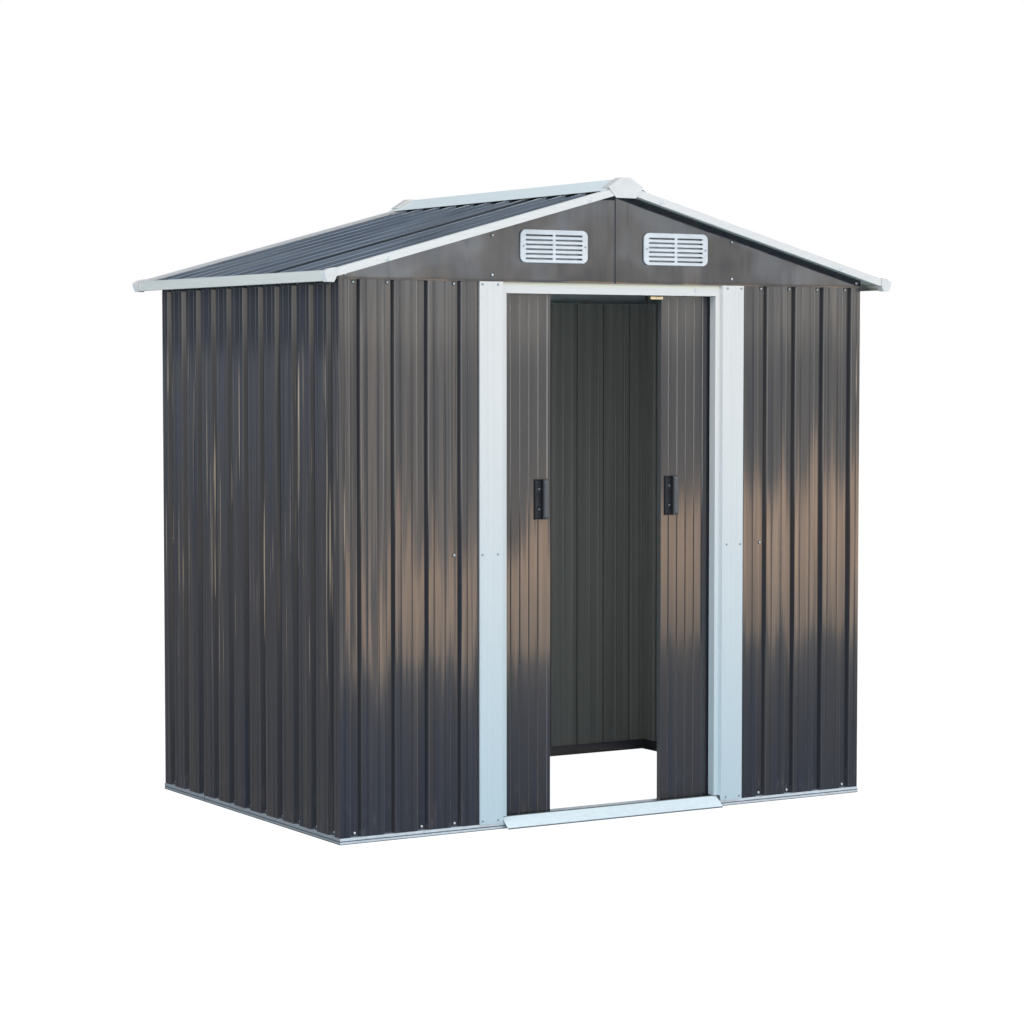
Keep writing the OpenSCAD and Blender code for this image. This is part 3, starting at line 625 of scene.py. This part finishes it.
def louvre_points(width, half_height, rows, depth):
    """A louvre sheet: a saw-tooth of depth against height, carried straight across the vent.

    In each row the sheet starts at the back under the slot above and slopes out to the front edge."""
    row = np.arange(rows)
    top = half_height - row * (2 * half_height / rows)
    low = half_height - (row + 0.7) * (2 * half_height / rows)
    z = np.stack([top, low], 1).ravel()
    y = np.tile([depth, 0.0], rows)
    x = np.array([-width / 2, width / 2])
    outer = np.stack(np.broadcast_arrays(x[None, :], y[:, None], z[:, None]), -1)
    inner = outer + [0.0, 0.001, 0.0004]
    return np.concatenate([outer, inner[:, ::-1]], 1)


class ShedFinish(bpy.types.PropertyGroup):
    """Colours of the shed's finishes."""

    sheet: bpy.props.FloatVectorProperty(
        name="Sheet paint", description="Outside of the wall and door sheets", subtype="COLOR",
        size=3, min=0.0, max=1.0, default=(0.036, 0.040, 0.051),
    )
    roof: bpy.props.FloatVectorProperty(
        name="Roof paint", description="Upper side of the roof sheets", subtype="COLOR",
        size=3, min=0.0, max=1.0, default=(0.032, 0.036, 0.044),
    )
    primer: bpy.props.FloatVectorProperty(
        name="Primer", description="Inside of the wall and door sheets", subtype="COLOR",
        size=3, min=0.0, max=1.0, default=(0.42, 0.42, 0.40),
    )
    soffit: bpy.props.FloatVectorProperty(
        name="Roof primer", description="Underside of the roof sheets", subtype="COLOR",
        size=3, min=0.0, max=1.0, default=(0.62, 0.55, 0.44),
    )
    white: bpy.props.FloatVectorProperty(
        name="White paint", description="Jambs, header, verge trims and caps", subtype="COLOR",
        size=3, min=0.0, max=1.0, default=(0.77, 0.73, 0.70),
    )
    # A brighter, bluer copy of the white paint: painted sky light on the ridge cap, which faces up
    ridge: bpy.props.FloatVectorProperty(
        name="Ridge paint", description="Ridge cap", subtype="COLOR",
        size=3, min=0.0, max=1.0, default=(0.92, 0.97, 0.95),
    )
    eave: bpy.props.FloatVectorProperty(
        name="Eave paint", description="Eave trims", subtype="COLOR",
        size=3, min=0.0, max=1.0, default=(0.73, 0.70, 0.64),
    )
    moulding: bpy.props.FloatVectorProperty(
        name="White plastic", description="Vents, louvres and plugs", subtype="COLOR",
        size=3, min=0.0, max=1.0, default=(0.76, 0.755, 0.77),
    )
    zinc: bpy.props.FloatVectorProperty(
        name="Zinc", description="Base rails, ramp and frame rails", subtype="COLOR",
        size=3, min=0.0, max=1.0, default=(0.70, 0.76, 0.80),
    )
    black: bpy.props.FloatVectorProperty(
        name="Black plastic", description="Handles, shoes and washers", subtype="COLOR",
        size=3, min=0.0, max=1.0, default=(0.016, 0.017, 0.02),
    )
    brass: bpy.props.FloatVectorProperty(
        name="Brass", description="Rollers, their brackets and the catch", subtype="COLOR",
        size=3, min=0.0, max=1.0, default=(0.66, 0.57, 0.36),
    )
    screw: bpy.props.FloatVectorProperty(
        name="Screw plating", description="Heads of the screws in the dark sheets", subtype="COLOR",
        size=3, min=0.0, max=1.0, default=(0.86, 0.86, 0.85),
    )
    dull_screw: bpy.props.FloatVectorProperty(
        name="Dull screw plating", description="Heads of the screws in the white trims", subtype="COLOR",
        size=3, min=0.0, max=1.0, default=(0.40, 0.44, 0.47),
    )
    # A whiter, bluer zinc than the rails: partly the ramp's own finish, partly painted sky light on its
    # upward face
    ramp: bpy.props.FloatVectorProperty(
        name="Ramp zinc", description="Ramp plate in the doorway", subtype="COLOR",
        size=3, min=0.0, max=1.0, default=(0.83, 0.935, 1.0),
    )


class ShedFittings(bpy.types.PropertyGroup):
    """Sizes of the small fittings."""

    screw_radius: bpy.props.FloatProperty(
        name="Screw radius", description="Radius of a screw head", unit="LENGTH",
        default=0.0040, min=0.001,
    )
    washer_radius: bpy.props.FloatProperty(
        name="Washer radius", description="Radius of a washer", unit="LENGTH",
        default=0.0053, min=0.001,
    )
    washer_height: bpy.props.FloatProperty(
        name="Washer height", description="Thickness of a washer", unit="LENGTH",
        default=0.0012, min=0.0002,
    )
    plug_radius: bpy.props.FloatProperty(
        name="Plug radius", description="Radius of a white plug", unit="LENGTH",
        default=0.0065, min=0.001,
    )
    foot_screw_height: bpy.props.FloatProperty(
        name="Foot screws", description="Height of the lowest row of screws", unit="LENGTH",
        default=0.028,
    )
    middle_screw_height: bpy.props.FloatProperty(
        name="Middle screws", description="Height of the screws in the laps", unit="LENGTH",
        default=0.799,
    )
    head_screw_drop: bpy.props.FloatProperty(
        name="Head screws", description="Distance of the top row below the wall top", unit="LENGTH",
        default=0.007,
    )
    louvre_depth: bpy.props.FloatProperty(
        name="Louvre depth", description="Depth of the louvres behind a vent", unit="LENGTH",
        default=0.016,
    )


class ShedStage(bpy.types.PropertyGroup):
    """Camera and light of the stage."""

    lens: bpy.props.FloatProperty(
        name="Lens", description="Focal length in millimetres", default=96.19, min=10.0,
    )
    camera_place: bpy.props.FloatVectorProperty(
        name="Camera", description="Place of the camera", subtype="TRANSLATION", size=3,
        default=(-4.4468, -7.3337, 1.3497),
    )
    camera_yaw: bpy.props.FloatProperty(
        name="Yaw", description="Turn of the camera from +Y towards +X", unit="ROTATION",
        default=0.545894,
    )
    camera_pitch: bpy.props.FloatProperty(
        name="Pitch", description="Tilt of the camera above the horizon", unit="ROTATION",
        default=-0.0546935,
    )
    key_power: bpy.props.FloatProperty(
        name="Key light", description="Power of the large front light", unit="POWER",
        default=155.0, min=0.0,
    )
    side_power: bpy.props.FloatProperty(
        name="Side light", description="Power of the light on the left", unit="POWER",
        default=145.0, min=0.0,
    )
    dome: bpy.props.FloatProperty(
        name="Dome", description="Brightness of the soft light all round", default=0.44, min=0.0,
    )
    fill_power: bpy.props.FloatProperty(
        name="Doorway fill", description="Power of the light inside the doorway", unit="POWER",
        default=1.7, min=0.0,
    )
    mirrored: bpy.props.FloatProperty(
        name="Surroundings", description="Brightness of what the paint mirrors", default=3.4, min=0.0,
    )


class SHED_OT_paint_sheets(bpy.types.Operator):
    """Paints the wall sheets, gables and doors outside and primes them inside"""

    bl_idname = "shed.paint_sheets"
    bl_label = "Paint the sheets"

    def execute(self, context):
        finish = context.scene.shed_finish
        sheet, primer = tuple(finish.sheet), tuple(finish.primer)
        left_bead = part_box("left_door")[1].x - BEAD_INSET
        right_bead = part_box("right_door")[0].x + BEAD_INSET - BEAD_PITCH / 2
        dress(DARK_SHEETS, enamel_material("wall_enamel", sheet, primer, (CROWN_EDGE,)))
        for name, bead in (("left_door", left_bead), ("right_door", right_bead)):
            enamel = enamel_material(
                name + "_enamel", sheet, primer, (0.0,), BEAD_PITCH, bead, fold_highlight=0.9, streaked=0.45
            )
            dress([name], enamel)
        dress(GABLES, enamel_material("gable_enamel", sheet, primer, streaked=0.15, is_gable=True))
        return {"FINISHED"}


class SHED_OT_paint_roof(bpy.types.Operator):
    """Paints the roof sheets"""

    bl_idname = "shed.paint_roof"
    bl_label = "Paint the roof"

    def execute(self, context):
        finish = context.scene.shed_finish
        enamel = enamel_material("roof_enamel", tuple(finish.roof), tuple(finish.soffit), is_roof=True)
        dress(ROOF_SHEETS, enamel)
        return {"FINISHED"}


class SHED_OT_paint_trims(bpy.types.Operator):
    """Paints the jambs, header and roof trims white"""

    bl_idname = "shed.paint_trims"
    bl_label = "Paint the trims"

    def execute(self, context):
        finish = context.scene.shed_finish
        white = tuple(finish.white)
        cream_from = WALL_TOP - CREAM_DROP
        dress(JAMBS, white_paint_material("jamb_paint", white, lines=True))
        dress(["door_header"], white_paint_material("header_paint", white, cream=cream_from))
        dress(VERGE_TRIMS, white_paint_material("verge_paint", white))
        dress(["ridge_cap"], white_paint_material("ridge_paint", tuple(finish.ridge)))
        dress(EAVE_TRIMS, white_paint_material("eave_paint", tuple(finish.eave)))
        return {"FINISHED"}


class SHED_OT_coat_rails(bpy.types.Operator):
    """Gives the base rails, the ramp and the frame rails their zinc coating"""

    bl_idname = "shed.coat_rails"
    bl_label = "Coat the rails"

    def execute(self, context):
        finish = context.scene.shed_finish
        zinc = tuple(finish.zinc)
        dress(BASE_RAILS, galvanised_material("base_rail_zinc", zinc, rail=True))
        dress(FRAME_RAILS, galvanised_material("frame_rail_zinc", tinted(zinc, 0.85), 0.05))
        dress(["door_ramp"], galvanised_material("ramp_zinc", tuple(finish.ramp), 0.0, ramp=True))
        return {"FINISHED"}


class SHED_OT_finish_mouldings(bpy.types.Operator):
    """Rounds the edges of the moulded caps and vents and gives mouldings and rollers their finish"""

    bl_idname = "shed.finish_mouldings"
    bl_label = "Finish the mouldings"

    def execute(self, context):
        finish = context.scene.shed_finish
        dress(MOULDED_CAPS, moulded_material("cap_plastic", tuple(finish.white), 0.42, 0.12))
        dress(VENTS, moulded_material("vent_plastic", tuple(finish.moulding), 0.42, 0.12))
        dress(SHOES, moulded_material("shoe_plastic", tuple(finish.black), 0.5, 0.3))
        dress(ROLLERS, metal_material("roller_brass", tuple(finish.brass), 0.3))
        for name in MOULDED_CAPS + VENTS:
            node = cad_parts[name]
            weld = node.modifiers.new("join_edges", "WELD")
            weld.merge_threshold = 0.00002
            bevel = node.modifiers.new("soft_edges", "BEVEL")
            bevel.width = 0.0012
            bevel.segments = 2
            bevel.limit_method = "ANGLE"
            bevel.angle_limit = math.radians(30)
        return {"FINISHED"}


class SHED_OT_add_louvres(bpy.types.Operator):
    """Puts a louvre sheet behind each gable vent"""

    bl_idname = "shed.add_louvres"
    bl_label = "Add the vent louvres"

    def execute(self, context):
        finish = context.scene.shed_finish
        material = moulded_material("louvre_plastic", tuple(finish.moulding), 0.45, 0.1)
        low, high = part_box("front_vents")
        centre_z = (low.z + high.z) / 2 - LOUVRE_DROP
        depth = context.scene.shed_fittings.louvre_depth
        sheet = louvre_points(LOUVRE_W, LOUVRE_HALF_H, LOUVRE_ROWS, depth)
        sides = []
        for x in (-VENT_X, VENT_X):
            front = sheet + [x, high.y + LOUVRE_BEHIND, centre_z]
            sides += [front, (front * [1.0, -1.0, 1.0])[:, ::-1]]
        rings, columns = sheet.shape[:2]
        faces = repeated_faces(ring_faces(rings, columns), len(sides), rings * columns)
        add_piece("vent_louvres", np.stack(sides), faces, material, "shed")
        return {"FINISHED"}


class SHED_OT_add_handles(bpy.types.Operator):
    """Makes the two door handles and their screws"""

    bl_idname = "shed.add_handles"
    bl_label = "Add the handles"

    def execute(self, context):
        finish = context.scene.shed_finish
        fittings = context.scene.shed_fittings
        sheen_face = (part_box("left_handle")[0].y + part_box("left_handle")[1].y) / 2
        plastic = moulded_material("handle_plastic", tuple(finish.black), 0.42, 0.35, sheen_face)
        plating = metal_material("handle_screw_plating", tuple(finish.dull_screw), 0.35, 0.6)
        for side in ("left", "right"):
            low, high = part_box(side + "_handle")
            size = high - low
            points = handle_points(size.x, size.z, size.y, HANDLE_RINGS)
            points = points + [low.x, high.y, (low.z + high.z) / 2]
            faces = ring_faces(*points.shape[:2])
            body = side + "_sliding_door"
            handle = add_piece(side + "_grip", points, faces, plastic, body)
            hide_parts(side + "_handle")
            screw_x = low.x + size.x * 0.38
            screw_y = high.y - size.y * FLOOR_SHARE + 0.0004
            centres = np.array([[screw_x, screw_y, low.z + size.z * share] for share in (0.25, 0.75)])
            heads, faces = turned_heads(
                centres, facing(2, 0.0, -1.0), PAN_HEAD * fittings.screw_radius * 0.7, recess=0.0007
            )
            add_piece(side + "_grip_screws", heads, faces, plating, body)
        return {"FINISHED"}


class SHED_OT_add_screws(bpy.types.Operator):
    """Puts the screws, washers and plugs on walls, jambs, gables, vents and trims"""

    bl_idname = "shed.add_screws"
    bl_label = "Add the screws"

    def execute(self, context):
        finish = context.scene.shed_finish
        fittings = context.scene.shed_fittings
        plating = metal_material("screw_plating", tuple(finish.screw), 0.3, 0.45)
        dull_plating = metal_material("dull_screw_plating", tuple(finish.dull_screw), 0.35, 0.5)
        rubber = moulded_material("washer_rubber", tuple(finish.black), 0.6, 0.2)
        plastic = moulded_material("plug_plastic", tuple(finish.moulding), 0.35, 0.08)
        centres, outward = wall_screw_places(fittings)
        valley = RIB_DEPTH - WALL_HALF_D
        gone = [
            (-6 * RIB_PITCH, valley, WALL_TOP - fittings.head_screw_drop),
            (-7 * RIB_PITCH, valley, fittings.foot_screw_height),
            (7 * RIB_PITCH, valley, fittings.foot_screw_height),
        ]
        centres, outward = without(centres, outward, gone)
        gable_centres, gable_outward = both_ends(GABLE_SCREWS, GABLE_FACE)
        centres = np.concatenate([centres, gable_centres])
        outward = np.concatenate([outward, gable_outward])
        washer_profile = WASHER * [fittings.washer_radius, fittings.washer_height]
        washers, faces = turned_heads(centres, outward, washer_profile, columns=14)
        add_piece("sheet_washers", washers, faces, rubber, "shed")
        raised = centres + outward * fittings.washer_height
        heads, faces = turned_heads(raised, outward, PAN_HEAD * fittings.screw_radius, recess=0.0009)
        add_piece("sheet_screws", heads, faces, plating, "shed")
        heights = (fittings.foot_screw_height, JAMB_MIDDLE_SCREW, WALL_TOP - JAMB_SCREW_DROP)
        jamb_pairs = rows_of(JAMB_SCREW_X, heights)
        jamb_y = np.full(len(jamb_pairs), JAMB_FACE)
        jamb_centres = np.stack([jamb_pairs[:, 0], jamb_y, jamb_pairs[:, 1]], 1)
        jamb_outward = facing(len(jamb_pairs), 0.0, -1.0)
        jamb_profile = PAN_HEAD * fittings.screw_radius * 0.85
        heads, faces = turned_heads(jamb_centres, jamb_outward, jamb_profile, recess=0.0009)
        add_piece("jamb_screws", heads, faces, dull_plating, "shed")
        low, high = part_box("front_vents")
        vent_z = (low.z + high.z) / 2
        vent_centres, vent_outward = both_ends([(x, vent_z) for x in VENT_SCREW_X], VENT_FACE)
        vent_profile = PAN_HEAD * fittings.screw_radius * 0.7
        heads, faces = turned_heads(vent_centres, vent_outward, vent_profile, recess=0.0007)
        add_piece("vent_screws", heads, faces, dull_plating, "shed")
        trim_centres, trim_outward = both_ends(VERGE_PLUGS, VERGE_FACE)
        header_x, header_z = HEADER_PLUG
        plug_centres = np.concatenate([trim_centres, [[header_x, HEADER_FACE, header_z]]])
        plug_outward = np.concatenate([trim_outward, facing(1, 0.0, -1.0)])
        plugs, faces = turned_heads(plug_centres, plug_outward, PLUG * fittings.plug_radius)
        add_piece("trim_plugs", plugs, faces, plastic, "shed")
        return {"FINISHED"}


def surroundings(tree, stage):
    """Soft white light all round, a white backdrop, and an open yard that only mirrors see.

    The yard is a ramp over the direction's height in degrees: dark near ground, grey buildings,
    then haze and sky. In front a sunlit tan strip crosses it, whose edges rise towards the right,
    with paler posts above. Tall narrow columns make strip and buildings ragged. The back is
    darker, with a few warm glints."""
    start = Shade(tree)
    direction = start.node("TexCoord", output="Generated")
    x, y, z = direction.split()
    near, tall, sunny = direction.scaled(26.0, 26.0, 2.5).noise(3.0, 0.6, "Color").split()
    height = z * (180 / math.pi)
    share = (height + (near - 0.5) * 1.6 + 12) / 30
    buildings = share.node("ValToRGB", {"Fac": share}, stops=[
        (0.0, (0.05, 0.058, 0.085)), (0.09, (0.055, 0.062, 0.09)), (0.16, (0.11, 0.108, 0.12)),
        (0.195, (0.17, 0.165, 0.16)), (0.27, (0.33, 0.285, 0.245)), (0.36, (0.26, 0.245, 0.22)),
        (0.405, (0.28, 0.265, 0.24)), (0.43, (0.52, 0.48, 0.42)), (0.463, (0.46, 0.42, 0.38)),
        (0.48, (0.68, 0.66, 0.64)), (0.56, (0.70, 0.70, 0.70)), (0.68, (0.5, 0.55, 0.62)),
        (1.0, (0.35, 0.45, 0.6)),
    ])
    right = x - 0.54
    above_foot = height - right * 7.4 + 6.0 - (near - 0.5) * 0.8
    past = (right + 0.02).math("MINIMUM", 0.0)
    ragged = (tall - 0.45) * (past * 27 + 4.0)
    above_head = height - right * 14.5 - past * 18 + 3.6 - ragged
    strip = above_foot.step(-0.15, 0.25) * (1 - above_head.step(-0.25, 0.35)) * x.step(0.15, 0.4)
    tan = above_foot.step(0.2, 2.2).blend((0.74, 0.56, 0.41), (1.08, 0.755, 0.52))
    posts = sunny.step(0.56, 0.68) * above_foot.step(0.0, 0.5) * (1 - height.step(0.5, 1.5)) * 0.4
    haze = near.step(0.4, 0.6) * height.step(1.4, 2.2) * 0.5
    sunlit = posts.blend(haze.blend(buildings, (0.58, 0.66, 0.74)), (0.72, 0.58, 0.46))
    front_yard = strip.blend(sunlit, tan)
    back_yard = share.node("ValToRGB", {"Fac": share}, stops=[
        (0.0, (0.06, 0.055, 0.055)), (0.20, (0.065, 0.058, 0.055)), (0.30, (0.055, 0.055, 0.062)),
        (0.40, (0.078, 0.082, 0.096)), (0.415, (0.022, 0.025, 0.035)), (0.5, (0.03, 0.034, 0.046)),
        (0.65, (0.068, 0.09, 0.122)), (1.0, (0.085, 0.118, 0.16)),
    ])
    glint = tall.step(0.62, 0.68) * height.between(-4.4, -2.0, 0.8)
    back_yard = glint.blend(back_yard, (0.9, 0.68, 0.42))
    forward = (0 - y).step(-0.25, 0.35)
    shaded = 1 - (1 - x.step(-0.1, 0.45)) * forward * (0.5 - height.step(0.2, 0.9) * 0.24)
    strength = shaded * (0.6 + sunny.step(0.35, 0.65) * 0.8) * stage.mirrored
    yard = start.node("Background", {"Color": forward.blend(back_yard, front_yard), "Strength": strength})
    lamp = z.step(-0.2, 0.9).blend((0.70, 0.80, 0.90), (1.35, 1.42, 1.47))
    dome = start.node("Background", {"Color": lamp, "Strength": stage.dome})
    backdrop = start.node("Background", {"Color": (1.0, 1.0, 1.0, 1.0), "Strength": 1.0})
    mirrored = start.node("LightPath", output="Is Glossy Ray")
    seen = start.node("LightPath", output="Is Camera Ray")
    unseen = start.node("MixShader", {0: mirrored, 1: dome, 2: yard})
    start.node("OutputWorld", {"Surface": start.node("MixShader", {0: seen, 1: unseen, 2: backdrop})})


def floor_material():
    """Pale floor: white to the camera with a faint soft shadow, pale blue paint to the light."""
    material, start = new_material("pale_floor")
    place = start.node("TexCoord", output="Object")
    mottle = place.scaled(1.4, 1.4, 1.4).noise(3.0)
    paint = start.node("BsdfDiffuse", {"Color": mottle.blend((0.48, 0.68, 0.82), (0.51, 0.71, 0.85))})
    glow = start.node("Emission", {"Color": (1.0, 1.0, 1.0, 1.0), "Strength": 1.14})
    seen = start.node("LightPath", output="Is Camera Ray")
    start.node("OutputMaterial", {"Surface": start.node("MixShader", {0: seen * 0.9, 1: paint, 2: glow})})
    return material


def add_lamp(name, place, target, power, width, colour):
    """A soft square area light that faces a target and isn't mirrored."""
    data = bpy.data.lights.new(name, "AREA")
    data.energy = power
    data.size = width
    data.color = colour
    lamp = bpy.data.objects.new(name, data)
    bpy.context.scene.collection.objects.link(lamp)
    lamp.location = place
    lamp.rotation_euler = (Vector(target) - Vector(place)).to_track_quat("-Z", "Y").to_euler()
    lamp.visible_glossy = False
    return lamp


class SHED_OT_set_stage(bpy.types.Operator):
    """Makes the floor, the lights and the camera"""

    bl_idname = "shed.set_stage"
    bl_label = "Set the stage"

    def execute(self, context):
        scene = context.scene
        stage = scene.shed_stage
        half = FLOOR_HALF
        mesh = bpy.data.meshes.new("floor")
        corners = [(-half, -half, 0.0), (half, -half, 0.0), (half, half, 0.0), (-half, half, 0.0)]
        mesh.from_pydata(corners, [], [(0, 1, 2, 3)])
        mesh.materials.append(floor_material())
        floor = bpy.data.objects.new("floor", mesh)
        scene.collection.objects.link(floor)
        floor.visible_glossy = False
        world = bpy.data.worlds.new("studio")
        world.use_nodes = True
        world.node_tree.nodes.clear()
        surroundings(world.node_tree, stage)
        scene.world = world
        scene.view_settings.view_transform = "Standard"
        middle = (0.0, 0.0, 1.0)
        add_lamp("key_light", (1.0, -5.8, 3.0), middle, stage.key_power, 4.5, (1.0, 0.985, 0.96))
        add_lamp("side_light", (-5.3, -1.8, 3.2), middle, stage.side_power, 4.0, (0.93, 0.97, 1.0))
        fill_place, fill_target = (0.0, -0.5, 0.8), (0.0, 0.5, 0.8)
        add_lamp("doorway_fill", fill_place, fill_target, stage.fill_power, 0.34, (1.0, 0.98, 0.9))
        data = bpy.data.cameras.new("camera")
        data.lens = stage.lens
        data.sensor_width = 36.0
        data.clip_end = 200.0
        camera = bpy.data.objects.new("camera", data)
        scene.collection.objects.link(camera)
        turn = Matrix.Rotation(-stage.camera_yaw, 4, "Z")
        tilt = Matrix.Rotation(math.pi / 2 + stage.camera_pitch, 4, "X")
        camera.matrix_world = Matrix.Translation(stage.camera_place) @ turn @ tilt
        scene.camera = camera
        return {"FINISHED"}


OPERATORS = (
    SHED_OT_paint_sheets, SHED_OT_paint_roof, SHED_OT_paint_trims, SHED_OT_coat_rails,
    SHED_OT_finish_mouldings, SHED_OT_add_louvres, SHED_OT_add_handles, SHED_OT_add_screws,
    SHED_OT_set_stage,
)


class SHED_PT_sidebar(bpy.types.Panel):
    """Lists the steps that dress the shed"""

    bl_idname = "SHED_PT_sidebar"
    bl_label = "Metal storage shed"
    bl_space_type = "VIEW_3D"
    bl_region_type = "UI"
    bl_category = "Shed"

    def draw(self, context):
        for operator in OPERATORS:
            self.layout.operator(operator.bl_idname)
        for group in (context.scene.shed_finish, context.scene.shed_fittings, context.scene.shed_stage):
            box = self.layout.box()
            for name in group.__annotations__:
                box.prop(group, name)


CLASSES = (ShedFinish, ShedFittings, ShedStage, *OPERATORS, SHED_PT_sidebar)


def register():
    for cls in CLASSES:
        bpy.utils.register_class(cls)
    bpy.types.Scene.shed_finish = bpy.props.PointerProperty(type=ShedFinish)
    bpy.types.Scene.shed_fittings = bpy.props.PointerProperty(type=ShedFittings)
    bpy.types.Scene.shed_stage = bpy.props.PointerProperty(type=ShedStage)


def unregister():
    del bpy.types.Scene.shed_stage
    del bpy.types.Scene.shed_fittings
    del bpy.types.Scene.shed_finish
    for cls in reversed(CLASSES):
        bpy.utils.unregister_class(cls)


def main():
    register()
    bpy.ops.shed.paint_sheets()
    bpy.ops.shed.paint_roof()
    bpy.ops.shed.paint_trims()
    bpy.ops.shed.coat_rails()
    bpy.ops.shed.finish_mouldings()
    bpy.ops.shed.add_louvres()
    bpy.ops.shed.add_handles()
    bpy.ops.shed.add_screws()
    bpy.ops.shed.set_stage()


if __name__ == "__main__":
    main()
